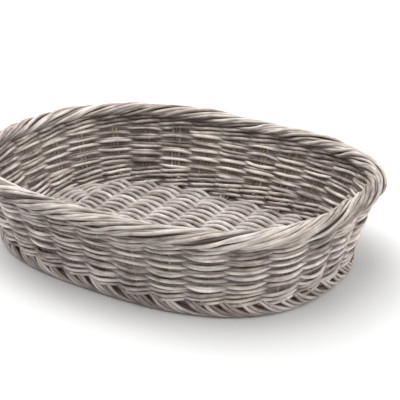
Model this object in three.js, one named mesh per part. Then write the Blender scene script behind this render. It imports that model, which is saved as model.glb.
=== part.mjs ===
// A low oval wicker basket: groups of three stakes cross the floor and bend up into a flaring
// wall, single weavers run in and out of them row by row, and a rope-like border closes the rim.
// Units are millimetres. X is the long axis, Y the short one, Z is up and the basket stands on Z = 0.
import * as THREE from "three";

// Driving dimensions of the oval wall, measured on the middle surface that the stakes lie in.
const RIM_HALF_LENGTH = 191.6;
const RIM_HALF_WIDTH = 143;
const RIM_HEIGHT = 81.2;
const FOOT_HALF_LENGTH = 170;
const FOOT_HALF_WIDTH = 119;
const FLOOR_HEIGHT = 7;
const OVAL_POWER = 2.6;

// Stakes: flat groups of three rods side by side. The cross groups run over the floor from the
// back wall to the front one, one place askew, and the other groups stand in the rounded ends.
const STAKE_GROUPS = 30;
const STAKE_GROUP_WIDTH = 11;
const STAKE_THICKNESS = 2.6;
const CROSS_GROUPS = 9;
const FIRST_BACK_GROUP = 4;
const FIRST_FRONT_GROUP = 27;
const STAKE_BEND_INSET = 12;
const STAKE_BEND_RISE = 5.4;
const END_STAKE_TAIL = 12;

// Weavers of the wall.
const WEAVER_ROWS = 15;
const WEAVER_SIZE = 3.4;
const FIRST_ROW_HEIGHT = 14.6;
const ROW_PITCH = 4;
const FLAT_PAST_STAKE = 1;

// Weavers of the floor, woven as bands of two rods.
const FLOOR_BANDS = 22;
const FLOOR_BAND_GAP = 0.6;
const FLOOR_WEAVER_THICKNESS = 2.8;
const FLOOR_EDGE_INSET = 13;

// Borders. The foot's section goes round from its inner edge, as heights over the ground and
// distances out from the wall's oval.
const RIM_RADIUS = 8.4;
const RIM_SIDES = 8;
const FOOT_INNER = { height: 6, inset: 8 };
const FOOT_OUTER = 6;
const FOOT_TOP = 10.2;
const FOOT_CHAMFER = 2.6;
const FOOT_TOP_BEVEL = 1;
const BORDER_STEPS = 72;
const CLEARANCE = 0.35;

// Colours and roughness of the cane.
const WEAVER_CANE = { color: 0xb3a99e, roughness: 0.72 };
const FLOOR_CANE = { color: 0xbdb4aa, roughness: 0.74 };
const STAKE_CANE = { color: 0x8f8376, roughness: 0.78 };
const BORDER_CANE = { color: 0xc4bbb0, roughness: 0.68 };

const WEAVE_OFFSET = (STAKE_THICKNESS + WEAVER_SIZE) / 2 + CLEARANCE;
const FLOOR_WEAVE_OFFSET = (STAKE_THICKNESS + FLOOR_WEAVER_THICKNESS) / 2 + CLEARANCE;
const STAKE_REACH = STAKE_GROUP_WIDTH / 2 + FLAT_PAST_STAKE;
const FLOOR_BAND_PITCH = (2 * (FOOT_HALF_WIDTH - FLOOR_EDGE_INSET)) / FLOOR_BANDS;
const UP = new THREE.Vector3(0, 0, 1);

// An oval whose sides are fuller than an ellipse's, run anticlockwise from the +X end.
class Oval extends THREE.Curve {
  constructor(halfLength, halfWidth) {
    super();
    this.halfLength = halfLength;
    this.halfWidth = halfWidth;
    this.arcLengthDivisions = 720;
  }

  getPoint(t, target = new THREE.Vector3()) {
    const angle = 2 * Math.PI * t;
    const alongX = Math.abs(Math.cos(angle) / this.halfLength) ** OVAL_POWER;
    const alongY = Math.abs(Math.sin(angle) / this.halfWidth) ** OVAL_POWER;
    const radius = (alongX + alongY) ** (-1 / OVAL_POWER);
    return target.set(radius * Math.cos(angle), radius * Math.sin(angle), 0);
  }
}

const ovals = new Map();

// The wall's middle oval at a height: it widens evenly from the floor to the rim.
function ovalAt(height) {
  if (!ovals.has(height)) {
    const rise = (height - FLOOR_HEIGHT) / (RIM_HEIGHT - FLOOR_HEIGHT);
    const halfLength = THREE.MathUtils.lerp(FOOT_HALF_LENGTH, RIM_HALF_LENGTH, rise);
    const halfWidth = THREE.MathUtils.lerp(FOOT_HALF_WIDTH, RIM_HALF_WIDTH, rise);
    ovals.set(height, new Oval(halfLength, halfWidth));
  }
  return ovals.get(height);
}

// A place on the wall: the point, the direction round the wall, the way up it and the way out.
function wallFrame(share, height) {
  const turn = THREE.MathUtils.euclideanModulo(share, 1);
  const point = ovalAt(height).getPointAt(turn).setZ(height);
  const around = ovalAt(height).getTangentAt(turn);
  const lower = ovalAt(height - 1).getPointAt(turn).setZ(height - 1);
  const slope = point.clone().sub(lower);
  const up = slope.addScaledVector(around, -slope.dot(around)).normalize();
  const out = around.clone().cross(up).normalize();
  return { point, around, up, out };
}

// A place on the flat of the floor, measured inwards from the wall's oval.
function floorFrame(share, inset) {
  const { point, around } = wallFrame(share, FLOOR_HEIGHT);
  const out = around.clone().cross(UP).normalize();
  return { point: point.addScaledVector(out, -inset), around };
}

// A solid swept through stations. Each station has a point and the two directions, side and
// face, that its section is drawn in; side x face is the way the sweep runs. The section is a
// convex outline of [along side, along face] pairs, anticlockwise about that way.
function sweep(stations, section, closed) {
  const positions = [];
  for (const { point, side, face } of stations) {
    for (const [alongSide, alongFace] of section) {
      const corner = point.clone().addScaledVector(side, alongSide).addScaledVector(face, alongFace);
      positions.push(corner.x, corner.y, corner.z);
    }
  }
  const sides = section.length;
  const spans = closed ? stations.length : stations.length - 1;
  const triangles = [];
  for (let span = 0; span < spans; span += 1) {
    const here = span * sides;
    const next = ((span + 1) % stations.length) * sides;
    for (let corner = 0; corner < sides; corner += 1) {
      const after = (corner + 1) % sides;
      triangles.push(here + corner, here + after, next + after);
      triangles.push(here + corner, next + after, next + corner);
    }
  }
  if (!closed) {
    const last = (stations.length - 1) * sides;
    for (let corner = 1; corner < sides - 1; corner += 1) {
      triangles.push(0, corner + 1, corner);
      triangles.push(last, last + corner, last + corner + 1);
    }
  }
  const geometry = new THREE.BufferGeometry();
  geometry.setAttribute("position", new THREE.Float32BufferAttribute(positions, 3));
  geometry.setIndex(triangles);
  geometry.computeVertexNormals();
  return geometry;
}

function rectangle(width, thickness) {
  const halfWidth = width / 2;
  const halfThickness = thickness / 2;
  return [
    [halfWidth, halfThickness],
    [-halfWidth, halfThickness],
    [-halfWidth, -halfThickness],
    [halfWidth, -halfThickness],
  ];
}

const basket = new THREE.Group();

function addPiece(name, geometry, cane) {
  const material = new THREE.MeshStandardMaterial({ name, ...cane, metalness: 0 });
  const mesh = new THREE.Mesh(geometry, material);
  mesh.name = name;
  basket.add(mesh);
}

function numbered(name, index) {
  return `${name}_${String(index + 1).padStart(2, "0")}`;
}

// How far round the oval a stake group stands, as a share of the whole way.
function groupShare(group) {
  return group / STAKE_GROUPS;
}

// Stations up the wall for one stake group, from the bend at the floor to just under the rim.
// The widths lie along the wall and the faces look inwards, so that the strip runs upwards.
function stakeWallStations(group) {
  const bendHeight = FLOOR_HEIGHT + STAKE_BEND_RISE;
  const topHeight = RIM_HEIGHT - RIM_RADIUS - CLEARANCE;
  const middleHeight = (bendHeight + topHeight) / 2;
  return [bendHeight, middleHeight, topHeight].map((height) => {
    const { point, around, out } = wallFrame(groupShare(group), height);
    return { point, side: around, face: out.negate() };
  });
}

function reversed(stations) {
  const turned = stations.map(({ point, side, face }) => ({ point, side: side.clone().negate(), face }));
  return turned.reverse();
}

// A stake group that runs down the back wall, straight across the floor and up the front wall.
function crossStakes(backGroup, frontGroup) {
  const backPoint = floorFrame(groupShare(backGroup), STAKE_BEND_INSET).point;
  const frontPoint = floorFrame(groupShare(frontGroup), STAKE_BEND_INSET).point;
  const forward = frontPoint.clone().sub(backPoint).normalize();
  const side = UP.clone().cross(forward);
  const across = [backPoint, frontPoint].map((point) => ({ point, side, face: UP }));
  const stations = [...reversed(stakeWallStations(backGroup)), ...across, ...stakeWallStations(frontGroup)];
  return sweep(stations, rectangle(STAKE_GROUP_WIDTH, STAKE_THICKNESS), false);
}

// A stake group of the rounded ends: a short tail in the floor's edge, then up the wall.
function endStakes(group) {
  const insets = [STAKE_BEND_INSET + END_STAKE_TAIL, STAKE_BEND_INSET];
  const floorStations = insets.map((inset) => {
    const { point, around } = floorFrame(groupShare(group), inset);
    return { point, side: around, face: UP };
  });
  const stations = [...floorStations, ...stakeWallStations(group)];
  return sweep(stations, rectangle(STAKE_GROUP_WIDTH, STAKE_THICKNESS), false);
}

// One round of the wall: the weaver lies outside one stake group and inside the next.
function wallWeaver(row) {
  const height = FIRST_ROW_HEIGHT + row * ROW_PITCH;
  const stations = [];
  for (let group = 0; group < STAKE_GROUPS; group += 1) {
    const { point, around, up, out } = wallFrame(groupShare(group), height);
    const offset = (group + row) % 2 === 0 ? WEAVE_OFFSET : -WEAVE_OFFSET;
    for (const along of [-STAKE_REACH, STAKE_REACH]) {
      const place = point.clone().addScaledVector(out, offset).addScaledVector(around, along);
      stations.push({ point: place, side: up, face: out });
    }
  }
  return sweep(stations, rectangle(WEAVER_SIZE, WEAVER_SIZE), true);
}

// Half the length of the woven floor at a distance from its long axis.
function floorHalfLength(distance) {
  const across = (distance / (FOOT_HALF_WIDTH - FLOOR_EDGE_INSET)) ** OVAL_POWER;
  return (FOOT_HALF_LENGTH - FLOOR_EDGE_INSET) * Math.max(0, 1 - across) ** (1 / OVAL_POWER);
}

// Where a cross group's strip passes over the floor, as its X at a distance along Y.
function crossLine(backGroup, frontGroup) {
  const back = floorFrame(groupShare(backGroup), STAKE_BEND_INSET).point;
  const front = floorFrame(groupShare(frontGroup), STAKE_BEND_INSET).point;
  return (y) => THREE.MathUtils.mapLinear(y, front.y, back.y, front.x, back.x);
}

// One band of the floor, over one cross group and under the next, cut to the oval of the floor.
function floorWeaver(band, crossLines) {
  const y = (band - (FLOOR_BANDS - 1) / 2) * FLOOR_BAND_PITCH;
  const end = floorHalfLength(Math.abs(y) + FLOOR_BAND_PITCH / 2 - FLOOR_BAND_GAP);
  const side = new THREE.Vector3(0, 1, 0);
  const stations = [];
  crossLines.forEach((xAt, index) => {
    const x = xAt(y);
    const height = FLOOR_HEIGHT + ((index + band) % 2 === 0 ? FLOOR_WEAVE_OFFSET : -FLOOR_WEAVE_OFFSET);
    if (Math.abs(x) + STAKE_REACH < end) {
      stations.push({ point: new THREE.Vector3(x - STAKE_REACH, y, height), side, face: UP });
      stations.push({ point: new THREE.Vector3(x + STAKE_REACH, y, height), side, face: UP });
    }
  });
  const leftEnd = stations[0].point.clone().setX(-end);
  const rightEnd = stations[stations.length - 1].point.clone().setX(end);
  const whole = [{ point: leftEnd, side, face: UP }, ...stations, { point: rightEnd, side, face: UP }];
  return sweep(whole, rectangle(FLOOR_BAND_PITCH - FLOOR_BAND_GAP, FLOOR_WEAVER_THICKNESS), false);
}

// A border that follows the wall's oval at a height. Its section is pairs of a rise over that
// height and a distance out from the oval.
function border(height, section) {
  const stations = [];
  for (let step = 0; step < BORDER_STEPS; step += 1) {
    const { point, around } = wallFrame(step / BORDER_STEPS, height);
    stations.push({ point, side: UP, face: around.clone().cross(UP).normalize() });
  }
  return sweep(stations, section, true);
}

function rimBorder() {
  const section = [];
  for (let corner = 0; corner < RIM_SIDES; corner += 1) {
    const angle = (2 * Math.PI * corner) / RIM_SIDES;
    section.push([RIM_RADIUS * Math.cos(angle), RIM_RADIUS * Math.sin(angle)]);
  }
  return border(RIM_HEIGHT, section);
}

// The foot rests on a flat ring at Z = 0 and slopes up under the bend of the stakes.
function footBorder() {
  const corners = [
    [FOOT_INNER.height, -FOOT_INNER.inset],
    [FOOT_TOP, FOOT_OUTER - FOOT_CHAMFER],
    [FOOT_TOP - FOOT_TOP_BEVEL, FOOT_OUTER],
    [FOOT_CHAMFER, FOOT_OUTER],
    [0, FOOT_OUTER - FOOT_CHAMFER],
    [0, -FOOT_INNER.inset],
  ];
  return border(
    FLOOR_HEIGHT,
    corners.map(([height, out]) => [height - FLOOR_HEIGHT, out]),
  );
}

const crossLines = [];
for (let index = 0; index < CROSS_GROUPS; index += 1) {
  const backGroup = FIRST_BACK_GROUP + CROSS_GROUPS - 1 - index;
  const frontGroup = FIRST_FRONT_GROUP - CROSS_GROUPS + 1 + index;
  addPiece(numbered("cross_stakes", index), crossStakes(backGroup, frontGroup), STAKE_CANE);
  crossLines.push(crossLine(backGroup, frontGroup));
}

const endGroups = STAKE_GROUPS / 2 - CROSS_GROUPS;
for (let index = 0; index < endGroups; index += 1) {
  const leftGroup = FIRST_BACK_GROUP + CROSS_GROUPS + index;
  const rightGroup = (FIRST_FRONT_GROUP + 1 + index) % STAKE_GROUPS;
  addPiece(numbered("left_end_stakes", index), endStakes(leftGroup), STAKE_CANE);
  addPiece(numbered("right_end_stakes", index), endStakes(rightGroup), STAKE_CANE);
}

for (let band = 0; band < FLOOR_BANDS; band += 1) {
  addPiece(numbered("floor_weaver", band), floorWeaver(band, crossLines), FLOOR_CANE);
}
for (let row = 0; row < WEAVER_ROWS; row += 1) {
  addPiece(numbered("wall_weaver", row), wallWeaver(row), WEAVER_CANE);
}
addPiece("foot_border", footBorder(), BORDER_CANE);
addPiece("rim_border", rimBorder(), BORDER_CANE);

export default basket;
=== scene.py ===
"""A low oval wicker basket of grey-washed round cane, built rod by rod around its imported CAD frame.
Shapes are worked out in millimetres and written to Blender in metres."""

import math

import bpy
import numpy as np
from mathutils import Euler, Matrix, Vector


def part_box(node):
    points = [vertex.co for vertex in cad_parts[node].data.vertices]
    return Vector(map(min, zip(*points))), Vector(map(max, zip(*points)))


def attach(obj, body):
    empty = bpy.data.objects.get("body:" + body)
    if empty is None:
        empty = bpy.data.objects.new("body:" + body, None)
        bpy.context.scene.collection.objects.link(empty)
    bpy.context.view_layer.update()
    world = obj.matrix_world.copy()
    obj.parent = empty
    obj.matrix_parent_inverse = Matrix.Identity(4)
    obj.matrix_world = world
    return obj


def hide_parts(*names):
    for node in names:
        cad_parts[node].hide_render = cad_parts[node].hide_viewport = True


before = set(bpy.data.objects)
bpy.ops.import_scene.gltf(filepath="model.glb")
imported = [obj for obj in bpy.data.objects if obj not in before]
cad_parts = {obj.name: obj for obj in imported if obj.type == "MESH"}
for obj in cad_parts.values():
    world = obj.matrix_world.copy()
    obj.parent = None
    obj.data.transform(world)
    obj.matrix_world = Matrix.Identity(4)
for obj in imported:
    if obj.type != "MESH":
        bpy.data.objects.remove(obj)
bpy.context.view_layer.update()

MM = 0.001
SEED = 41
rng = np.random.default_rng(SEED)

# Camera: degrees for the angles, millimetres for the rest. Shifts are shares of the picture.
CAMERA_AZIMUTH = 36.766
CAMERA_ELEVATION = 22.417
CAMERA_DISTANCE = 1150
CAMERA_AIM_HEIGHT = 40
CAMERA_ROLL = -0.708
CAMERA_LENS = 107.84
CAMERA_SHIFT_X = 0.0704
CAMERA_SHIFT_Y = 0.0169
CAMERA_SENSOR = 36
# The nearest and farthest that the camera sees, in metres.
CAMERA_NEAR = 0.05
CAMERA_FAR = 20

# The weave's plan. Stake groups are counted anticlockwise from the +X end. The back ones start at
# FIRST_BACK_GROUP and go up, and the front ones start at FIRST_FRONT_GROUP and go down.
GROUPS = 30
CROSS_GROUPS = 9
END_GROUPS = 6
FIRST_BACK_GROUP = 4
FIRST_FRONT_GROUP = 27
ROWS = 15
FLOOR_NODES = 22
OVAL_POWER = 2.6
# How far the foot stands out beyond the wall's lower edge.
FOOT_OVERHANG = 6

# Rods.
ROD_SIDES = 8
STAKE_RADIUS = 1.6
STAKE_SPACING = 3.9
RODS_PER_GROUP = 3
WEAVER_RADIUS = 1.65
COMPANION_RADIUS = 1.4
FLOOR_RADIUS = 2.3
RIM_ROD_RADIUS = 1.65
FOOT_ROD_RADIUS = 1.8
# How much a rod's thickness varies, and over how many of its points.
ROD_UNEVENNESS = 0.05
ROD_SWAY_POINTS = 30
# A rod's rounded end: its length and width as shares of the radius, and its length in the grain.
ROD_CAP_LENGTH = 0.35
ROD_CAP_WIDTH = 0.62
ROD_CAP_GRAIN = 0.5
# A direction that no rod starts along.
FIRST_GUIDE = [0.31, 0.22, 0.92]
# Each rod's grain is taken from its own place in a block of this size.
CANE_SPREAD = 400


def make_camera():
    azimuth = math.radians(CAMERA_AZIMUTH)
    elevation = math.radians(CAMERA_ELEVATION)
    back = Vector(
        (
            math.sin(azimuth) * math.cos(elevation),
            -math.cos(azimuth) * math.cos(elevation),
            math.sin(elevation),
        )
    )
    data = bpy.data.cameras.new("camera")
    camera = bpy.data.objects.new("camera", data)
    bpy.context.scene.collection.objects.link(camera)
    camera.location = (back * CAMERA_DISTANCE + Vector((0, 0, CAMERA_AIM_HEIGHT))) * MM
    turn = (-back).to_track_quat("-Z", "Y")
    roll = Euler((0, 0, math.radians(CAMERA_ROLL))).to_quaternion()
    camera.rotation_mode = "QUATERNION"
    camera.rotation_quaternion = turn @ roll
    data.sensor_width = CAMERA_SENSOR
    data.lens = CAMERA_LENS
    data.shift_x = CAMERA_SHIFT_X
    data.shift_y = CAMERA_SHIFT_Y
    data.clip_start = CAMERA_NEAR
    data.clip_end = CAMERA_FAR
    bpy.context.scene.camera = camera


make_camera()

# Sizes taken from the CAD nodes, in millimetres.


def node_box(name):
    low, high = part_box(name)
    return np.array(low) / MM, np.array(high) / MM


def middle_height(name):
    low, high = node_box(name)
    return (low[2] + high[2]) / 2


rim_low, rim_high = node_box("rim_border")
foot_low, foot_high = node_box("foot_border")
RIM_RADIUS = (rim_high[2] - rim_low[2]) / 2
RIM_HEIGHT = middle_height("rim_border")
RIM_HALF_LENGTH = rim_high[0] - RIM_RADIUS
RIM_HALF_WIDTH = rim_high[1] - RIM_RADIUS
FOOT_HALF_LENGTH = foot_high[0] - FOOT_OVERHANG
FOOT_HALF_WIDTH = foot_high[1] - FOOT_OVERHANG
FLOOR_HEIGHT = middle_height("floor_weaver_11")
ROW_HEIGHTS = [middle_height(f"wall_weaver_{row + 1:02d}") for row in range(ROWS)]

# The wall's surface: an oval that widens evenly from the floor to the rim.

# Places round the basket are shares of its outline's length, from 0 at the +X end to 1.
SHARES = np.linspace(0, 1, 1441)
OVAL_ANGLES = np.linspace(0, 2 * math.pi, 5761)
# Half the steps over which the wall's directions are measured.
SHARE_STEP = 2e-4
HEIGHT_STEP = 0.5
# A rod that goes right round is drawn through this many places.
RING_POINTS = 145
UP = np.array([0.0, 0.0, 1.0])
LEVEL = np.array([1, 1, 0])


def oval_radius(angle, half_length, half_width):
    along_x = np.abs(np.cos(angle) / half_length) ** OVAL_POWER
    along_y = np.abs(np.sin(angle) / half_width) ** OVAL_POWER
    return (along_x + along_y) ** (-1 / OVAL_POWER)


def angles_by_share(half_length, half_width):
    """The polar angle of an oval at each share of its length, and that length."""
    radius = oval_radius(OVAL_ANGLES, half_length, half_width)
    x = radius * np.cos(OVAL_ANGLES)
    y = radius * np.sin(OVAL_ANGLES)
    length = np.concatenate([[0], np.cumsum(np.hypot(np.diff(x), np.diff(y)))])
    return np.interp(SHARES, length / length[-1], OVAL_ANGLES), length[-1]


FOOT_ANGLES, FOOT_LENGTH = angles_by_share(FOOT_HALF_LENGTH, FOOT_HALF_WIDTH)
RIM_ANGLES, RIM_LENGTH = angles_by_share(RIM_HALF_LENGTH, RIM_HALF_WIDTH)


def wall_point(share, height):
    share, height = np.broadcast_arrays(np.asarray(share, float), np.asarray(height, float))
    rise = (height - FLOOR_HEIGHT) / (RIM_HEIGHT - FLOOR_HEIGHT)
    turn = np.mod(share, 1)
    low = np.interp(turn, SHARES, FOOT_ANGLES)
    angle = low + rise * (np.interp(turn, SHARES, RIM_ANGLES) - low)
    half_length = FOOT_HALF_LENGTH + rise * (RIM_HALF_LENGTH - FOOT_HALF_LENGTH)
    half_width = FOOT_HALF_WIDTH + rise * (RIM_HALF_WIDTH - FOOT_HALF_WIDTH)
    radius = oval_radius(angle, half_length, half_width)
    return np.stack([radius * np.cos(angle), radius * np.sin(angle), height], -1)


def unit(vectors):
    return vectors / np.linalg.norm(vectors, axis=-1, keepdims=True)


def wall_frame(share, height):
    """Points of the wall, and the directions round it and out of it."""
    share, height = np.broadcast_arrays(np.asarray(share, float), np.asarray(height, float))
    point = wall_point(share, height)
    around = unit(wall_point(share + SHARE_STEP, height) - wall_point(share - SHARE_STEP, height))
    slope = wall_point(share, height + HEIGHT_STEP) - wall_point(share, height - HEIGHT_STEP)
    climb = unit(slope - around * np.sum(slope * around, -1, keepdims=True))
    return point, around, np.cross(around, climb)


def flat_out(around):
    """The level direction out of the wall."""
    return unit(np.cross(around, UP))


def floor_point(share, inset):
    """A point of the floor, at a distance inwards from the wall."""
    point, around, _ = wall_frame(share, np.full(np.shape(share), FLOOR_HEIGHT))
    return point - flat_out(around) * np.asarray(inset, float)[..., None]


# Paths.


def smooth_path(keys, step):
    """A Catmull-Rom curve through key points, with a point about every step millimetres."""
    keys = np.asarray(keys, float)
    before = 2 * keys[0] - keys[1]
    after = 2 * keys[-1] - keys[-2]
    padded = np.vstack([before, keys, after])
    points = []
    for index in range(1, len(padded) - 2):
        a, b, c, d = padded[index - 1 : index + 3]
        count = max(1, int(round(np.linalg.norm(c - b) / step)))
        t = (np.arange(count) / count)[:, None]
        square = 2 * a - 5 * b + 4 * c - d
        cube = 3 * b - a - 3 * c + d
        points.append(0.5 * (2 * b + (c - a) * t + square * t**2 + cube * t**3))
    points.append(keys[-1:])
    return np.vstack(points)


# The waves that a random sway is made of, and the share that brings their sum back to its size.
SWAY_WAVES = (1, 1.9, 3.1)
SWAY_SHARE = 0.7


def wander(count, size, turns):
    """A slow random sway of a rod, as count values of about the given size."""
    t = np.linspace(0, 1, count)
    total = np.zeros(count)
    for wave in SWAY_WAVES:
        total += np.sin(2 * math.pi * (t * turns * wave + rng.random())) / wave
    return size * total * SWAY_SHARE


def flat_wave(phase, flatness=0.7):
    """A cosine whose crests are flattened, as a rod lies over a group of stakes."""
    return np.tanh(flatness * np.cos(phase)) / math.tanh(flatness)


def smooth_step(value, low, high):
    t = np.clip((value - low) / (high - low), 0, 1)
    return t * t * (3 - 2 * t)


def carried_frame(path):
    """Two directions across a path at each point, carried along it without twist, and its own."""
    tangent = unit(np.gradient(path, axis=0))
    side = np.empty_like(path)
    guide = np.cross(tangent[0], FIRST_GUIDE)
    for index, ahead in enumerate(tangent):
        guide = guide - ahead * (guide @ ahead)
        guide = guide / np.linalg.norm(guide)
        side[index] = guide
    return side, np.cross(tangent, side), tangent


def with_ends(values):
    """The values with the first and the last repeated, for the rings that close a rod."""
    return np.concatenate([values[:1], values, values[-1:]])


class Piece:
    """One named piece made of rods. Each vertex knows its place on its rod, its rod's tone and
    how far it stands out of the weave, which sets how much painted shade it gets."""

    def __init__(self, name, material, slot, nodes=()):
        self.name = name
        self.material = material
        self.slot = slot
        self.nodes = nodes
        self.vertices = []
        self.faces = []
        self.cane = []
        self.tone = []
        self.lift = []
        self.total = 0

    def rod(self, path, radius, out, level, low, high, tone=None, painted_shade_fade=1.0):
        """Adds a round rod along a path. out is the weave's outward direction at each point, level how
        far the path stands out, and low and high the levels of full painted shade and none. The last
        argument dims the crests along the rod as painted shade. A rod without a tone gets a random
        one."""
        path = np.asarray(path, float)
        count = len(path)
        unevenness = wander(count, ROD_UNEVENNESS, turns=count / ROD_SWAY_POINTS)
        radius = np.broadcast_to(radius, count) * (1 + unevenness)
        if tone is None:
            tone = rng.random()
        side, face, tangent = carried_frame(path)
        angle = 2 * math.pi * np.arange(ROD_SIDES) / ROD_SIDES
        spoke = side[:, None] * np.cos(angle)[:, None] + face[:, None] * np.sin(angle)[:, None]
        ring = path[:, None] + spoke * radius[:, None, None]
        steps = np.linalg.norm(np.diff(path, axis=0), axis=1)
        along = np.concatenate([[0], np.cumsum(steps)])
        cap = tangent * ROD_CAP_LENGTH * radius[:, None]
        start_ring = path[0] - cap[0] + spoke[0] * radius[0] * ROD_CAP_WIDTH
        end_ring = path[-1] + cap[-1] + spoke[-1] * radius[-1] * ROD_CAP_WIDTH
        ring = np.concatenate([start_ring[None], ring, end_ring[None]])
        along = np.concatenate([[along[0] - ROD_CAP_GRAIN], along, [along[-1] + ROD_CAP_GRAIN]])
        spoke = with_ends(spoke)
        out = with_ends(np.broadcast_to(out, (count, 3)))
        level = with_ends(np.broadcast_to(level, count))
        painted_shade_fade = with_ends(np.broadcast_to(painted_shade_fade, count))
        tone = with_ends(np.broadcast_to(tone, count))
        # Painted shade: lift is low where a point lies deep in the weave or faces inwards, and the
        # material browns it there.
        height = level[:, None] + with_ends(radius)[:, None] * np.sum(spoke * out[:, None], -1)
        lift = smooth_step(np.abs(height), low, high) * painted_shade_fade[:, None]
        offset = rng.random(3) * CANE_SPREAD
        cane = np.empty((len(ring), ROD_SIDES, 3))
        cane[..., 0] = along[:, None] + offset[0]
        cane[..., 1] = np.cos(angle) * WEAVER_RADIUS + offset[1]
        cane[..., 2] = np.sin(angle) * WEAVER_RADIUS + offset[2]
        self.add_faces(len(ring))
        self.vertices.append(ring.reshape(-1, 3))
        self.cane.append(cane.reshape(-1, 3))
        self.tone.append(np.repeat(tone, ROD_SIDES))
        self.lift.append(lift.reshape(-1))
        self.total += len(ring) * ROD_SIDES

    def add_faces(self, rings):
        """Squares between each ring of points and the next, and a face over each end."""
        corner = np.arange(ROD_SIDES)
        base = self.total + np.arange(rings - 1)[:, None] * ROD_SIDES
        here = base + corner
        beside = base + (corner + 1) % ROD_SIDES
        squares = np.stack([here, beside, beside + ROD_SIDES, here + ROD_SIDES], -1).reshape(-1, 4)
        first = self.total + corner[::-1]
        last = self.total + (rings - 1) * ROD_SIDES + corner
        self.faces.extend([*squares.tolist(), first.tolist(), last.tolist()])

    def build(self):
        mesh = bpy.data.meshes.new(self.name)
        points = np.concatenate(self.vertices) * MM
        mesh.from_pydata(points.tolist(), [], self.faces)
        mesh.polygons.foreach_set("use_smooth", np.ones(len(mesh.polygons), bool))
        cane = mesh.attributes.new("cane", "FLOAT_VECTOR", "POINT")
        cane.data.foreach_set("vector", np.concatenate(self.cane).astype(np.float32).ravel())
        for label, values in (("tone", self.tone), ("lift", self.lift)):
            attribute = mesh.attributes.new(label, "FLOAT", "POINT")
            attribute.data.foreach_set("value", np.concatenate(values).astype(np.float32))
        mesh.materials.append(self.material)
        mesh.update()
        piece = bpy.data.objects.new(self.name, mesh)
        bpy.context.scene.collection.objects.link(piece)
        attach(piece, "root")
        if self.nodes:
            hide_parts(*self.nodes)


# Materials.


def srgb(red, green, blue):
    """A screen colour from 0 to 255 as the linear colour that shaders take."""
    channels = [value / 255 for value in (red, green, blue)]
    linear = [v / 12.92 if v <= 0.04045 else ((v + 0.055) / 1.055) ** 2.4 for v in channels]
    return (*linear, 1)


class Nodes:
    """A short way to write a material's nodes."""

    def __init__(self, material):
        material.use_nodes = True
        self.tree = material.node_tree
        self.shader = self.tree.nodes["Principled BSDF"]

    def add(self, kind, inputs=None, **settings):
        node = self.tree.nodes.new(kind)
        for name, value in settings.items():
            setattr(node, name, value)
        for name, value in (inputs or {}).items():
            self.set(node.inputs[name], value)
        return node

    def set(self, socket, value):
        if isinstance(value, bpy.types.NodeSocket):
            self.tree.links.new(value, socket)
        else:
            socket.default_value = value

    def math(self, operation, *values, clamp=False):
        node = self.add("ShaderNodeMath", operation=operation, use_clamp=clamp)
        for socket, value in zip(node.inputs, values):
            self.set(socket, value)
        return node.outputs[0]

    def weighed(self, start, *terms):
        """start plus each value's distance from a half, times its weight."""
        total = start
        for value, weight in terms:
            total = self.math("MULTIPLY_ADD", self.math("SUBTRACT", value, 0.5), weight, total)
        return total

    def scaled(self, vector, scale):
        node = self.add("ShaderNodeVectorMath", operation="MULTIPLY")
        self.set(node.inputs[0], vector)
        self.set(node.inputs[1], scale)
        return node.outputs[0]

    def noise(self, vector, detail, roughness, scale=1.0):
        inputs = {"Vector": vector, "Scale": scale, "Detail": detail, "Roughness": roughness}
        return self.add("ShaderNodeTexNoise", inputs).outputs["Fac"]

    def ramp(self, value, stops):
        node = self.add("ShaderNodeValToRGB", {"Fac": value})
        elements = node.color_ramp.elements
        while len(elements) < len(stops):
            elements.new(0.5)
        for element, (place, colour) in zip(elements, stops):
            element.position = place
            element.color = colour
        return node.outputs["Color"]

    def mix(self, share, a, b, blend="MIX"):
        node = self.add("ShaderNodeMix", data_type="RGBA", blend_type=blend)
        self.set(node.inputs[0], share)
        self.set(node.inputs[6], a)
        self.set(node.inputs[7], b)
        return node.outputs[2]


# The brown of the weave's hollows: painted shade there over the cane's own darker colour. It is also
# the colour of the grain's dark flecks.
HOLLOW_SHADE_AND_FLECK = srgb(70, 59, 54)
# Cane's patterns: waves for each millimetre along a rod and in the two ways across it.
STREAK_SCALE = (0.05, 0.9, 0.9)
BLOTCH_SCALE = (0.065, 0.12, 0.12)
GRAIN_SCALE = (0.25, 3.2, 3.2)
HUE_SCALE = (0.02, 0.05, 0.05)
# Broad light and dark areas over the whole basket, in waves for each metre.
AREA_SCALE = 14.0
# The middle shade on the colour ramp, and how much each pattern moves it.
MIDDLE_SHADE = 0.52
BLOTCH_WEIGHT = 1.5
STREAK_WEIGHT = 0.7
TONE_WEIGHT = 0.6
AREA_WEIGHT = 0.7
TINT_WEIGHT = 2.0
# How much the streaks vary the painted shade in the hollows.
PAINTED_SHADE_STREAKS = 1.4
# Dark flecks where the grain is over this level, and how dark they are.
FLECK_LEVEL = 0.64
FLECK_SHARE = 0.3
CANE_ROUGHNESS = 0.6
GRAIN_ROUGHNESS = 0.5
BLOTCH_ROUGHNESS = 0.3
CANE_SPECULAR = 0.35
GRAIN_BUMP = 0.6
BUMP_STRENGTH = 0.45
BUMP_DISTANCE = 0.0006


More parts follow.
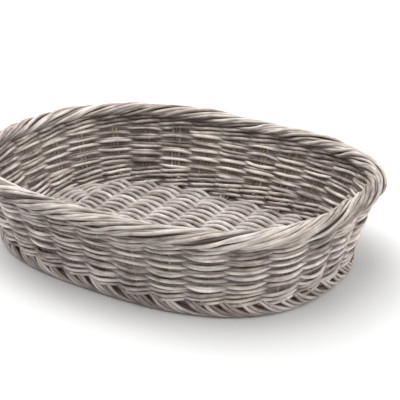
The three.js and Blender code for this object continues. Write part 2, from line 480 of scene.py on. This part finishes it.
def cane_material(name, stops, tint, painted_shade_share):
    """Grey-washed cane: streaks and blotches along each rod, a tone of its own for each rod, painted
    shade in the weave's hollows over the cane's own browner colour there, and a fine lengthwise grain."""
    material = bpy.data.materials.new(name)
    n = Nodes(material)
    cane = n.add("ShaderNodeAttribute", attribute_name="cane").outputs["Vector"]
    tone = n.add("ShaderNodeAttribute", attribute_name="tone").outputs["Fac"]
    lift = n.add("ShaderNodeAttribute", attribute_name="lift").outputs["Fac"]
    place = n.add("ShaderNodeTexCoord").outputs["Object"]
    streak = n.noise(n.scaled(cane, STREAK_SCALE), detail=3.0, roughness=0.6)
    blotch = n.noise(n.scaled(cane, BLOTCH_SCALE), detail=3.0, roughness=0.55)
    grain = n.noise(n.scaled(cane, GRAIN_SCALE), detail=3.0, roughness=0.6)
    area = n.noise(place, detail=2.0, roughness=0.5, scale=AREA_SCALE)
    shade = n.weighed(
        MIDDLE_SHADE,
        (blotch, BLOTCH_WEIGHT),
        (streak, STREAK_WEIGHT),
        (tone, TONE_WEIGHT),
        (area, AREA_WEIGHT),
    )
    colour = n.ramp(shade, stops)
    hue = n.noise(n.scaled(cane, HUE_SCALE), detail=1.0, roughness=0.5)
    colour = n.mix(n.weighed(0.5, (hue, TINT_WEIGHT)), colour, tint, "MULTIPLY")
    # Painted shade: the lower a point lies in the weave, the more brown is mixed in, partly the cane's
    # own colour there.
    dark = n.math("MULTIPLY", n.math("SUBTRACT", 1.0, lift), painted_shade_share)
    dark = n.math("MULTIPLY", dark, n.weighed(1.0, (streak, PAINTED_SHADE_STREAKS)), clamp=True)
    colour = n.mix(dark, colour, HOLLOW_SHADE_AND_FLECK)
    fleck = n.math("GREATER_THAN", grain, FLECK_LEVEL)
    colour = n.mix(n.math("MULTIPLY", fleck, FLECK_SHARE), colour, HOLLOW_SHADE_AND_FLECK)
    n.set(n.shader.inputs["Base Color"], colour)
    roughness = n.weighed(CANE_ROUGHNESS, (grain, GRAIN_ROUGHNESS), (blotch, BLOTCH_ROUGHNESS))
    n.set(n.shader.inputs["Roughness"], roughness)
    n.shader.inputs["Specular IOR Level"].default_value = CANE_SPECULAR
    height = n.math("MULTIPLY_ADD", grain, GRAIN_BUMP, streak)
    relief = {"Height": height, "Strength": BUMP_STRENGTH, "Distance": BUMP_DISTANCE}
    bump = n.add("ShaderNodeBump", relief)
    n.set(n.shader.inputs["Normal"], bump.outputs["Normal"])
    return material


# Each material: the colours of its ramp, a tint for parts of the cane, and how far painted shade
# darkens its hollows.
WALL_MATERIAL = cane_material(
    "wall_cane",
    [
        (0.0, srgb(94, 85, 81)),
        (0.3, srgb(146, 137, 133)),
        (0.6, srgb(192, 183, 179)),
        (1.0, srgb(230, 223, 218)),
    ],
    srgb(240, 234, 224),
    0.72,
)
FLOOR_MATERIAL = cane_material(
    "floor_cane",
    [
        (0.0, srgb(108, 99, 95)),
        (0.3, srgb(148, 140, 136)),
        (0.6, srgb(177, 169, 166)),
        (1.0, srgb(208, 203, 200)),
    ],
    srgb(244, 238, 232),
    0.45,
)
STAKE_MATERIAL = cane_material(
    "stake_cane",
    [
        (0.0, srgb(78, 68, 62)),
        (0.4, srgb(112, 102, 94)),
        (0.7, srgb(144, 135, 126)),
        (1.0, srgb(180, 171, 162)),
    ],
    srgb(236, 228, 210),
    0.5,
)
BORDER_MATERIAL = cane_material(
    "border_cane",
    [
        (0.0, srgb(108, 98, 94)),
        (0.28, srgb(143, 134, 129)),
        (0.55, srgb(174, 166, 161)),
        (1.0, srgb(208, 202, 198)),
    ],
    srgb(246, 240, 232),
    0.9,
)

# Stakes.

# Where a stake bends up from the floor: how far in from the wall, and how far over the floor.
STAKE_BEND_INSET = 12
STAKE_BEND_RISE = 5.4
STAKE_HEIGHTS = [22, 34, 46, 58, 68, 77]
STAKE_STEP = 6
# How far out a stake stands, and the levels of full painted shade and none; on the floor a stake's
# underside is shaded.
STAKE_LEVEL = 1.6
STAKE_LEVELS = (0.0, 3.2)
# How far a stake strays along the wall, the share of that in and out of it, and on the floor.
STAKE_SPREAD = 0.28
STAKE_SPREAD_OUT = 0.6
FLOOR_STAKE_SPREAD = 0.2
FLOOR_STAKE_POINTS = 9
# The lower end of an end stake, on the floor: its length, and how its rods draw together.
END_TAIL = 30
TAIL_NARROWING = [0.45, 0.75, 1]


def group_share(group):
    return group / GROUPS


def stake_wall_keys(group, shift):
    """Key points of one stake up the wall, from the bend at the floor to inside the rim."""
    heights = np.array([FLOOR_HEIGHT + STAKE_BEND_RISE, *STAKE_HEIGHTS])
    point, around, out = wall_frame(group_share(group), heights)
    sway = rng.normal(0, STAKE_SPREAD, (len(heights), 2))
    return point + around * (shift + sway[:, :1]) + out * sway[:, 1:] * STAKE_SPREAD_OUT


def stake_rod(piece, keys):
    path = smooth_path(keys, STAKE_STEP)
    piece.rod(path, STAKE_RADIUS, UP, STAKE_LEVEL, *STAKE_LEVELS)


def shifts():
    """How far each rod of a group lies to the side of its middle."""
    return [(rod - 1) * STAKE_SPACING for rod in range(RODS_PER_GROUP)]


def cross_groups(index):
    """The places round the basket of a cross group's two ends, counted from the left."""
    back_group = FIRST_BACK_GROUP + CROSS_GROUPS - 1 - index
    front_group = FIRST_FRONT_GROUP - CROSS_GROUPS + 1 + index
    return back_group, front_group


def cross_ends(index):
    """Where a cross group bends up into the back wall and into the front wall."""
    return [floor_point(group_share(group), STAKE_BEND_INSET) for group in cross_groups(index)]


def cross_stakes(index):
    """A group that runs down the back wall, across the floor and up the front wall."""
    back_group, front_group = cross_groups(index)
    name = f"cross_stakes_{index + 1:02d}"
    piece = Piece(f"cross_stake_rods_{index + 1:02d}", STAKE_MATERIAL, "stake_cane", [name])
    back, front = cross_ends(index)
    side = np.cross(UP, unit(front - back))
    for shift in shifts():
        down = stake_wall_keys(back_group, -shift)[::-1]
        share = np.linspace(0, 1, FLOOR_STAKE_POINTS)[:, None]
        across = back + (front - back) * share + side * shift
        across[:, :2] += rng.normal(0, FLOOR_STAKE_SPREAD, (FLOOR_STAKE_POINTS, 2))
        up = stake_wall_keys(front_group, shift)
        stake_rod(piece, np.vstack([down, across, up]))
    piece.build()


def end_stakes(side_name, index, group):
    """A group that stands in a rounded end, with its lower end on the floor."""
    name = f"{side_name}_end_stakes_{index + 1:02d}"
    piece = Piece(f"{side_name}_end_rods_{index + 1:02d}", STAKE_MATERIAL, "stake_cane", [name])
    insets = STAKE_BEND_INSET + END_TAIL * np.array([1, 0.5, 0])
    share = np.full(len(insets), group_share(group))
    around = wall_frame(share, FLOOR_HEIGHT)[1]
    narrowing = np.array(TAIL_NARROWING)[:, None]
    for shift in shifts():
        tail = floor_point(share, insets) + around * shift * narrowing
        stake_rod(piece, np.vstack([tail, stake_wall_keys(group, shift)]))
    piece.build()


def cross_line(index):
    """X of a cross group over the floor, as a function of Y."""
    back, front = cross_ends(index)
    return lambda y: front[0] + (y - front[1]) * (back[0] - front[0]) / (back[1] - front[1])


# Wall.

STEPS_PER_GROUP = 8
# Places along a rod round the wall, counted in stake groups.
AROUND = np.arange(GROUPS * STEPS_PER_GROUP + 1) / STEPS_PER_GROUP
# A weaver's middle stands off the stakes' middle by both radii, less a little that it sinks in.
WEAVER_SINK = 0.2
WEAVE_DEPTH = STAKE_RADIUS + WEAVER_RADIUS - WEAVER_SINK
# The thinner rod over each weaver: how much higher it runs, and its share of the weaver's depth.
COMPANION_RISE = 1.9
COMPANION_DEPTH = 0.5
COMPANION_DEPTH_LIMITS = (0.05, 1.1)
# How far a rod sways up and down between the stake groups.
PLAIN_RISE = 0.4
TWINED_RISE = 1.75
# The lowest and highest mean tone of a rod.
WEAVER_TONES = (0.4, 0.75)
TWINED_TONES = (0.3, 0.7)
COMPANION_TONE = 0.35
# Random amounts, as standard deviations: heights, depths, thickness and tones.
WEAVER_HEIGHT_SPREAD = 1.25
WEAVER_DEPTH_SPREAD = 0.6
WEAVER_RADIUS_SPREAD = 0.09
WEAVER_TONE_SPREAD = 0.28
COMPANION_HEIGHT_SPREAD = 0.9
COMPANION_DEPTH_SPREAD = 0.45
COMPANION_TONE_SPREAD = 0.25
TWINED_HEIGHT_SPREAD = 0.45
TWINED_DEPTH_SPREAD = 0.3
TWINED_TONE_SPREAD = 0.22
# How far out of the weave the painted shade is full and where it is gone: weavers, companions and
# lining.
WEAVER_LEVELS = (-0.6, 3.4)
HIDDEN_LEVELS = (0.2, 4.4)
LINING_LEVELS = (-0.6, 5.0)
# Twined pairs near the foot and under the rim: the row whose piece holds them, and their heights.
TWINED_PAIRS = {0: [9.4, 13.8], 1: [18.7], 2: [23.6], 13: [66.2, 70.6], 14: [74.8]}
# How much the tone of the pairs under the rim is changed, which makes them darker as painted shade of
# the rim's overhang.
TWINED_PAINTED_SHADE = {13: -0.1, 14: -0.2}
# The lowest pair is set in from the wall, and weaves less deep by a share of that.
LOWEST_PAIR = 9.4
LOWEST_INSET = 3.0
LOWEST_SHALLOWING = 0.4
# Thin rods in the middle of the wall's thickness, which stop light showing through it. They are
# painted dark as the shade between the rows.
LINING_RADIUS = 1.1
LINING_STEP = 1.95
LINING_LOW = 8.0
LINING_HIGH = 79.0
LINING_DEPTH = 0.1
LINING_TONE = 0.1


def per_crossing(size, middle=0.0):
    """A random amount at each stake group, eased from one to the next."""
    at_group = rng.normal(middle, size, GROUPS)
    low = np.floor(AROUND).astype(int)
    share = (1 - np.cos(math.pi * (AROUND - low))) / 2
    return at_group[low % GROUPS] * (1 - share) + at_group[(low + 1) % GROUPS] * share


def round_wall(piece, height, depth, radius, rise, phase, levels, tone, inset=0.0):
    """A rod round the wall. Its sway up and down follows its sway in and out by a quarter turn."""
    wave = math.pi * AROUND + phase
    lift = height + rise * np.sin(wave)
    point, _, out = wall_frame(AROUND / GROUPS, lift)
    offset = flat_wave(wave) * depth
    piece.rod(point + out * (offset - inset)[:, None], radius, out, offset, *levels, tone=tone)


def wall_piece(row):
    node = f"wall_weaver_{row + 1:02d}"
    return Piece(f"wall_rod_{row + 1:02d}", WALL_MATERIAL, "wall_cane", [node])


def lining(piece, row):
    """The thin rods nearest to this row."""
    for height in np.arange(LINING_LOW, LINING_HIGH, LINING_STEP):
        if np.argmin(np.abs(np.array(ROW_HEIGHTS) - height)) == row:
            round_wall(piece, height, LINING_DEPTH, LINING_RADIUS, 0, 0, LINING_LEVELS, LINING_TONE)


def plain_row(row):
    """One row: its weaver, and the thinner one behind it that closes the gap to the next row."""
    piece = wall_piece(row)
    phase = math.pi * (row % 2)
    height = ROW_HEIGHTS[row] + per_crossing(WEAVER_HEIGHT_SPREAD)
    depth = WEAVE_DEPTH + per_crossing(WEAVER_DEPTH_SPREAD)
    tone = per_crossing(WEAVER_TONE_SPREAD, rng.uniform(*WEAVER_TONES))
    radius = WEAVER_RADIUS * (1 + per_crossing(WEAVER_RADIUS_SPREAD))
    round_wall(piece, height, depth, radius, PLAIN_RISE, phase, WEAVER_LEVELS, tone)
    height = ROW_HEIGHTS[row] + COMPANION_RISE + per_crossing(COMPANION_HEIGHT_SPREAD)
    share = np.clip(per_crossing(COMPANION_DEPTH_SPREAD, COMPANION_DEPTH), *COMPANION_DEPTH_LIMITS)
    depth = WEAVE_DEPTH * share
    tone = per_crossing(COMPANION_TONE_SPREAD, COMPANION_TONE)
    round_wall(piece, height, depth, COMPANION_RADIUS, PLAIN_RISE, phase, HIDDEN_LEVELS, tone)
    lining(piece, row)
    piece.build()


def twined_rows(row):
    """Pairs of rods that change places between one stake group and the next."""
    piece = wall_piece(row)
    for height in TWINED_PAIRS[row]:
        for strand in range(2):
            # Pairs under the rim are painted darker as the rim's shade.
            middle_tone = rng.uniform(*TWINED_TONES) + TWINED_PAINTED_SHADE.get(row, 0)
            tone = per_crossing(TWINED_TONE_SPREAD, middle_tone)
            lift = height + per_crossing(TWINED_HEIGHT_SPREAD)
            inset = LOWEST_INSET if height == LOWEST_PAIR else 0
            depth = WEAVE_DEPTH + per_crossing(TWINED_DEPTH_SPREAD) - inset * LOWEST_SHALLOWING
            phase = math.pi * strand
            round_wall(
                piece, lift, depth, WEAVER_RADIUS, TWINED_RISE, phase, WEAVER_LEVELS, tone, inset
            )
    lining(piece, row)
    piece.build()


def wall_rows():
    for row in range(ROWS):
        if row in TWINED_PAIRS:
            twined_rows(row)
        else:
            plain_row(row)


# Floor.

FLOOR_RODS = 46
FLOOR_EDGE_INSET = 4.5
# How far the rods reach in front of and behind the CAD's floor.
FLOOR_MARGIN = 4
FLOOR_SINK = 0.8
FLOOR_WEAVE_DEPTH = STAKE_RADIUS + FLOOR_RADIUS - FLOOR_SINK
# The levels of full painted shade and none on the floor rods, which shade their undersides and
# hollows.
FLOOR_LEVELS = (-1.6, 3.0)
# How far a rod bends forward or back as it goes over or under a stake group.
FLOOR_BOW = 1.6
FLOOR_STEP = 4
# A rod's sway forward and back, in depth and in tone, and the limits of its tone and thickness.
FLOOR_SWAY = 0.55
FLOOR_DEPTH_SWAY = 0.12
FLOOR_TONE_SWAY = 0.15
FLOOR_TONES = (0.2, 0.8)
FLOOR_THICKNESS = (0.9, 1.1)
# Each piece of the floor: how many CAD nodes it stands for, and how many rods it has.
FLOOR_PIECES = [(4, 8), (4, 8), (3, 7), (3, 7), (4, 8), (4, 8)]
# The floor lining rods are painted dark as the shade in the floor's gaps.
FLOOR_LINING_RADIUS = 1.2
FLOOR_LINING_POINTS = 24
FLOOR_LINING_LEVELS = (-0.4, 5.0)
FLOOR_LINING_TONE = 0.1
# How far the long rods reach past the last cross group, and how far the crescents overlap them.
LAST_COLUMN_REACH = 10
CRESCENT_OVERLAP = 3
CRESCENT_PITCH = 4.0
CRESCENT_RODS = 12
CRESCENT_INSET = 1.5
# Half the share of the outline that a crescent may span, its points and the fewest it is made of.
CRESCENT_SPAN = 0.16
CRESCENT_POINTS = 161
CRESCENT_FEWEST = 7
CRESCENT_FLATNESS = 0.4


def floor_half_length(distance):
    """Half the floor's length, at a distance in front of or behind its middle."""
    across = (abs(distance) / (FOOT_HALF_WIDTH - FLOOR_EDGE_INSET)) ** OVAL_POWER
    return (FOOT_HALF_LENGTH - FLOOR_EDGE_INSET) * max(0, 1 - across) ** (1 / OVAL_POWER)


def floor_y(index, pitch):
    return (index - (FLOOR_RODS - 1) / 2) * pitch


def floor_ends(y, lines, end):
    """The left and right end of a floor rod, which stops near the last cross group."""
    left = max(-end, lines[0](y) - LAST_COLUMN_REACH)
    right = min(end, lines[-1](y) + LAST_COLUMN_REACH)
    return left, right


def floor_rod(piece, index, lines, pitch):
    """One rod along the floor, over a cross group and under the next."""
    y = floor_y(index, pitch)
    left, right = floor_ends(y, lines, floor_half_length(y))
    columns = np.array([line(y) for line in lines])
    spacing = np.diff(columns).mean()
    count = max(4, int((right - left) / FLOOR_STEP))
    x = np.linspace(left, right, count)
    before = columns[0] + spacing * np.array([-2, -1])
    after = columns[-1] + spacing * np.array([1, 2])
    u = np.interp(x, np.concatenate([before, columns, after]), np.arange(-2, CROSS_GROUPS + 2))
    depth = FLOOR_WEAVE_DEPTH * (1 + wander(count, FLOOR_DEPTH_SWAY, turns=4))
    offset = flat_wave(math.pi * (u + index)) * depth
    sway = wander(count, FLOOR_SWAY, turns=5)
    bow = FLOOR_BOW * offset / FLOOR_WEAVE_DEPTH
    path = np.stack([x, y + sway + bow, FLOOR_HEIGHT + offset], -1)
    tone = rng.uniform(*FLOOR_TONES) + wander(count, FLOOR_TONE_SWAY, turns=4)
    radius = FLOOR_RADIUS * rng.uniform(*FLOOR_THICKNESS)
    piece.rod(path, radius, UP, offset, *FLOOR_LEVELS, tone=tone)


def floor_lining(piece, index, lines, pitch):
    """A thin straight rod in the floor's thickness that closes the gap beside a weaver. It is
    painted dark as the shade in that gap.
    """
    y = floor_y(index, pitch)
    left, right = floor_ends(y, lines, floor_half_length(y) - FLOOR_EDGE_INSET)
    x = np.linspace(left, right, FLOOR_LINING_POINTS)
    path = np.stack([x, np.full_like(x, y), np.full_like(x, FLOOR_HEIGHT)], -1)
    piece.rod(path, FLOOR_LINING_RADIUS, UP, 0, *FLOOR_LINING_LEVELS, tone=FLOOR_LINING_TONE)


def floor():
    lines = [cross_line(index) for index in range(CROSS_GROUPS)]
    low = node_box("floor_weaver_01")[0][1]
    high = node_box(f"floor_weaver_{FLOOR_NODES:02d}")[1][1]
    pitch = (high - low + 2 * FLOOR_MARGIN) / FLOOR_RODS
    first_node = 0
    first_rod = 0
    for number, (node_count, rod_count) in enumerate(FLOOR_PIECES):
        numbers = range(first_node + 1, first_node + node_count + 1)
        nodes = [f"floor_weaver_{node:02d}" for node in numbers]
        piece = Piece(f"floor_rods_{number + 1:02d}", FLOOR_MATERIAL, "floor_cane", nodes)
        for index in range(first_rod, first_rod + rod_count):
            floor_rod(piece, index, lines, pitch)
            for part in (0.0, 0.5):
                floor_lining(piece, index + part, lines, pitch)
        piece.build()
        first_node += node_count
        first_rod += rod_count
    reach = LAST_COLUMN_REACH - CRESCENT_OVERLAP
    crescents("left", 0.5, lambda x, y: lines[0](y) - reach - x)
    crescents("right", 0.0, lambda x, y: x - lines[-1](y) - reach)


def crescents(side_name, middle_share, beyond):
    """Filling rods that follow the rounded end of the floor. beyond tells how far a place is
    outside the last cross group."""
    piece = Piece(f"{side_name}_floor_crescent", FLOOR_MATERIAL, "floor_cane")
    share = middle_share + np.linspace(-CRESCENT_SPAN, CRESCENT_SPAN, CRESCENT_POINTS)
    for row in range(CRESCENT_RODS):
        inset = FLOOR_EDGE_INSET + CRESCENT_INSET + row * CRESCENT_PITCH
        line = floor_point(share, np.full(len(share), inset))
        kept = beyond(line[:, 0], line[:, 1]) > 0
        if kept.sum() < CRESCENT_FEWEST:
            continue
        u = share[kept] * GROUPS
        offset = flat_wave(math.pi * (u + row), CRESCENT_FLATNESS) * FLOOR_WEAVE_DEPTH
        path = line[kept] + UP * offset[:, None]
        tone = rng.uniform(*FLOOR_TONES)
        piece.rod(path, FLOOR_RADIUS, UP, offset, *FLOOR_LEVELS, tone=tone)
    piece.build()


# Rim: for each stake group a bundle of four rods that come up inside the wall, roll over the top
# and end under the outer side, each lying beside the next like the strands of a rope.

# Each key is a place along the rim in millimetres, an angle round its section in degrees from
# the level outward way, and a distance from its centre line.
RIM_KEYS = np.array(
    [
        (-10, 246, 5.0),
        (0, 224, 4.6),
        (8, 201, 5.4),
        (20, 173, 7.2),
        (38, 139, 8.1),
        (62, 88, 7.4),
        (86, 40, 7.0),
        (106, 0, 7.0),
        (124, -36, 6.8),
        (138, -70, 5.6),
        (148, -100, 4.0),
    ]
)
# The four rods of a bundle: how far each starts along the rim, and how high it lies.
RIM_BUNDLE = [(-8.6, 0.0), (0.0, -0.9), (8.6, 0.1), (17.8, -1.7)]
RIM_STRAND_POINTS = 50
# The levels of full painted shade and none on the strands, which shade their inner faces and the gaps
# between them.
RIM_LEVELS = (5.8, 8.3)
# Where along a strand its swell comes and goes, and where it leaves the shade painted on it inside the
# basket.
RIM_SWELL_IN = (0, 36)
RIM_SWELL_OUT = (112, 145)
RIM_PAINTED_SHADE_RUN = (0, 26)
# How much painted shade darkens a strand's start inside the basket.
RIM_PAINTED_SHADE_SHARE = 0.4
RIM_DISTANCE_SWAY = 0.5
RIM_ANGLE_SWAY = 0.13
# The mean swell, and how much of a strand's tone is that of its bundle.
RIM_SWELL = 0.1
RIM_SHARED_TONE = 0.3
# Random amounts, as standard deviations, for a bundle and for a strand.
RIM_STRETCH_SPREAD = 0.05
RIM_TURN_SPREAD = 3.5
RIM_SWELL_SPREAD = 0.4
RIM_STRAND_SWELL_SPREAD = 0.35
RIM_START_SPREAD = 1.8
# The dark ring inside the rim, and one under it, painted dark as the shade between the strands:
# outwards, upwards from the rim's middle, radius.
RIM_CORE_RADIUS = 5.4
RIM_BACKING = [(0.6, -6.0, 2.8)]
RIM_CORE_LEVELS = (5.6, 8.4)
CORE_TONE = 0.1


def ring_frame(share, height):
    """Points of the wall at one height, and the level direction out of it."""
    point, around, _ = wall_frame(share, np.full(np.shape(share), height))
    return point, flat_out(around)


def softened(values, reach=3):
    """Values averaged with their neighbours, as far as reach on each side."""
    padded = np.pad(values, reach, mode="reflect", reflect_type="odd")
    return np.convolve(padded, np.ones(2 * reach + 1) / (2 * reach + 1), "valid")


def rim_strand(piece, start_share, stretch, turn, swell, tone):
    """One strand: how much longer it is than its keys, how far it is turned round the rim in
    degrees, and how far it swells out."""
    run = np.linspace(RIM_KEYS[0, 0], RIM_KEYS[-1, 0], RIM_STRAND_POINTS)
    angle = np.radians(softened(np.interp(run, RIM_KEYS[:, 0], RIM_KEYS[:, 1])) + turn)
    distance = softened(np.interp(run, RIM_KEYS[:, 0], RIM_KEYS[:, 2]))
    rolled = smooth_step(run, *RIM_SWELL_IN) * (1 - smooth_step(run, *RIM_SWELL_OUT))
    distance = distance + swell * rolled
    distance = distance + wander(len(run), RIM_DISTANCE_SWAY, turns=2)
    angle = angle + wander(len(run), RIM_ANGLE_SWAY, turns=1.5)
    centre, out = ring_frame(start_share - run * stretch / RIM_LENGTH, RIM_HEIGHT)
    direction = out * np.cos(angle)[:, None] + UP * np.sin(angle)[:, None]
    path = centre + direction * distance[:, None]
    # Painted shade on the strand's start inside the basket, under the rim's overhang.
    painted_shade_fade = 1 - RIM_PAINTED_SHADE_SHARE * (1 - smooth_step(run, *RIM_PAINTED_SHADE_RUN))
    piece.rod(path, RIM_ROD_RADIUS, direction, distance, *RIM_LEVELS, tone=tone, painted_shade_fade=painted_shade_fade)


def rim():
    piece = Piece("rim_rope", BORDER_MATERIAL, "border_cane", ["rim_border"])
    for group in range(GROUPS):
        shared = rng.random()
        stretch = 1 + rng.normal(0, RIM_STRETCH_SPREAD)
        turn = rng.normal(0, RIM_TURN_SPREAD)
        swell = rng.normal(RIM_SWELL, RIM_SWELL_SPREAD)
        for shift, rise in RIM_BUNDLE:
            start = group_share(group) + (shift + rng.normal(0, RIM_START_SPREAD)) / RIM_LENGTH
            tone = RIM_SHARED_TONE * shared + (1 - RIM_SHARED_TONE) * rng.random()
            strand_turn = turn + rng.normal(0, RIM_TURN_SPREAD)
            strand_swell = swell + rise + rng.normal(0, RIM_STRAND_SWELL_SPREAD)
            rim_strand(piece, start, stretch, strand_turn, strand_swell, tone)
    share = np.linspace(0, 1, RING_POINTS)
    centre, rim_out = ring_frame(share, RIM_HEIGHT)
    piece.rod(centre, RIM_CORE_RADIUS, rim_out, 0, *RIM_CORE_LEVELS, tone=CORE_TONE)
    for outward, height, radius in RIM_BACKING:
        point, out = ring_frame(share, RIM_HEIGHT + height)
        piece.rod(point + out * outward, radius, rim_out, 0, *RIM_CORE_LEVELS, tone=CORE_TONE)
    piece.build()


# Foot: pairs of rods that come out under the lowest rows, lie down along the wall and end under
# the floor's edge.

# The foot's section: distances out from the wall's lower edge, and heights.
FOOT_PROFILE = np.array(
    [
        (0.5, 17.5),
        (3.8, 15.0),
        (5.0, 11.5),
        (5.3, 7.0),
        (4.3, 3.5),
        (1.5, 2.05),
        (-3.0, 2.0),
        (-8.0, 2.2),
        (-10, 4.6),
    ]
)
# A strand's run: distances round the foot, and distances down its section.
FOOT_RUN = [(-4, 0), (2, 5), (8, 10), (16, 14.2), (27, 18), (40, 22.5), (52, 29), (58, 32)]
FOOT_STEP = 3.2
FOOT_SWAY = 0.25
FOOT_START_SPREAD = 0.07
# How far the foot's strands stand out, and the levels of full painted shade and none.
FOOT_LEVEL = 6.5
FOOT_LEVELS = (5.9, 8.2)
# The height that the foot's outward directions spread from.
FOOT_CORE_HEIGHT = 8.0
# The places of a group's strands round the foot, as shares of the way to the next group, and the
# two rods of each strand as distances aside.
FOOT_STRANDS = [0.0, 0.5]
FOOT_PAIR = [-1.65, 1.65]
# How much of a strand's tone its two rods share, and how much darker than even they are, as painted
# shade near the floor.
FOOT_SHARED_TONE = 0.5
FOOT_PAINTED_SHADE = 0.15
FOOT_BACKING_LEVELS = (5.4, 8.2)
# Rings behind the strands, painted dark as the shade between them: outwards, height and radius.
FOOT_BACKING = [(1.2, 6.5, 3.6), (-4.5, 5.2, 3.0), (-0.5, 11.2, 2.8), (-9.0, 6.0, 2.2)]


def along_profile(distance):
    """The outward distance and the height at a distance down the foot's section."""
    steps = np.hypot(*np.diff(FOOT_PROFILE, axis=0).T)
    length = np.concatenate([[0], np.cumsum(steps)])
    outward = np.interp(distance, length, FOOT_PROFILE[:, 0])
    height = np.interp(distance, length, FOOT_PROFILE[:, 1])
    return outward, height


def foot_strand(piece, start_share, shift, tone):
    keys = np.array(FOOT_RUN, float) + rng.normal(0, FOOT_SWAY, (len(FOOT_RUN), 2))
    keys = smooth_path(keys, FOOT_STEP)
    ahead = unit(np.gradient(keys, axis=0))
    keys = keys + np.stack([ahead[:, 1], -ahead[:, 0]], -1) * shift
    outward, height = along_profile(np.maximum(keys[:, 1], 0))
    share = start_share + keys[:, 0] / FOOT_LENGTH
    out = flat_out(wall_frame(share, height)[1])
    edge = wall_frame(share, np.full(len(share), FLOOR_HEIGHT))[0] * LEVEL
    point = edge + out * outward[:, None] + UP * height[:, None]
    # Faces turned towards the foot's core get the painted shade.
    lean = unit(point - edge - UP * FOOT_CORE_HEIGHT)
    piece.rod(point, FOOT_ROD_RADIUS, lean, FOOT_LEVEL, *FOOT_LEVELS, tone=tone)


def foot():
    piece = Piece("foot_plait", BORDER_MATERIAL, "border_cane", ["foot_border"])
    for group in range(GROUPS):
        for step in FOOT_STRANDS:
            shared = rng.random()
            place = group_share(group + step + rng.normal(0, FOOT_START_SPREAD))
            for shift in FOOT_PAIR:
                tone = FOOT_SHARED_TONE * shared + (1 - FOOT_SHARED_TONE) * rng.random()
                # Each strand is painted darker as shade near the floor.
                foot_strand(piece, place, shift, tone - FOOT_PAINTED_SHADE)
    centre, out = ring_frame(np.linspace(0, 1, RING_POINTS), FLOOR_HEIGHT)
    for outward, height, radius in FOOT_BACKING:
        path = centre * LEVEL + out * outward + UP * height
        piece.rod(path, radius, out, 0, *FOOT_BACKING_LEVELS, tone=CORE_TONE)
    piece.build()


for cross_index in range(CROSS_GROUPS):
    cross_stakes(cross_index)
for end_index in range(END_GROUPS):
    end_stakes("left", end_index, FIRST_BACK_GROUP + CROSS_GROUPS + end_index)
    end_stakes("right", end_index, (FIRST_FRONT_GROUP + 1 + end_index) % GROUPS)
wall_rows()
floor()
rim()
foot()

# Stage.

# Lengths in metres, powers in watts. A light: its name, where it stands, its width and its power.
STAGE_HALF = 6.0
STAGE_GREY = 0.62
STAGE_ROUGHNESS = 0.9
STAGE_SPECULAR = 0.1
SKY_STRENGTH = 0.94
LIGHT_AIM = (0, 0, 0.03)
LIGHTS = [
    ("key", (-1.05, 0.5, 1.4), 1.6, 23),
    ("top_fill", (-0.1, -0.35, 1.9), 1.6, 25),
    ("right_fill", (1.6, 0.3, 0.7), 1.2, 12),
]


def make_floor():
    mesh = bpy.data.meshes.new("studio_floor")
    sides = [(-1, -1), (1, -1), (1, 1), (-1, 1)]
    corners = [(x * STAGE_HALF, y * STAGE_HALF, 0) for x, y in sides]
    mesh.from_pydata(corners, [], [(0, 1, 2, 3)])
    material = bpy.data.materials.new("studio_floor")
    material.use_nodes = True
    shader = material.node_tree.nodes["Principled BSDF"]
    shader.inputs["Base Color"].default_value = (STAGE_GREY, STAGE_GREY, STAGE_GREY, 1)
    shader.inputs["Roughness"].default_value = STAGE_ROUGHNESS
    shader.inputs["Specular IOR Level"].default_value = STAGE_SPECULAR
    mesh.materials.append(material)
    stage = bpy.data.objects.new("studio_floor", mesh)
    bpy.context.scene.collection.objects.link(stage)


def area_light(name, place, size, power):
    data = bpy.data.lights.new(name, "AREA")
    data.shape = "DISK"
    data.size = size
    data.energy = power
    light = bpy.data.objects.new(name, data)
    bpy.context.scene.collection.objects.link(light)
    light.location = place
    light.rotation_mode = "QUATERNION"
    light.rotation_quaternion = (Vector(LIGHT_AIM) - Vector(place)).to_track_quat("-Z", "Y")


def light_stage():
    world = bpy.data.worlds.new("studio")
    bpy.context.scene.world = world
    world.use_nodes = True
    background = world.node_tree.nodes["Background"]
    background.inputs["Color"].default_value = (1, 1, 1, 1)
    background.inputs["Strength"].default_value = SKY_STRENGTH
    for name, place, size, power in LIGHTS:
        area_light(name, place, size, power)
    bpy.context.scene.view_settings.view_transform = "Standard"


make_floor()
light_stage()
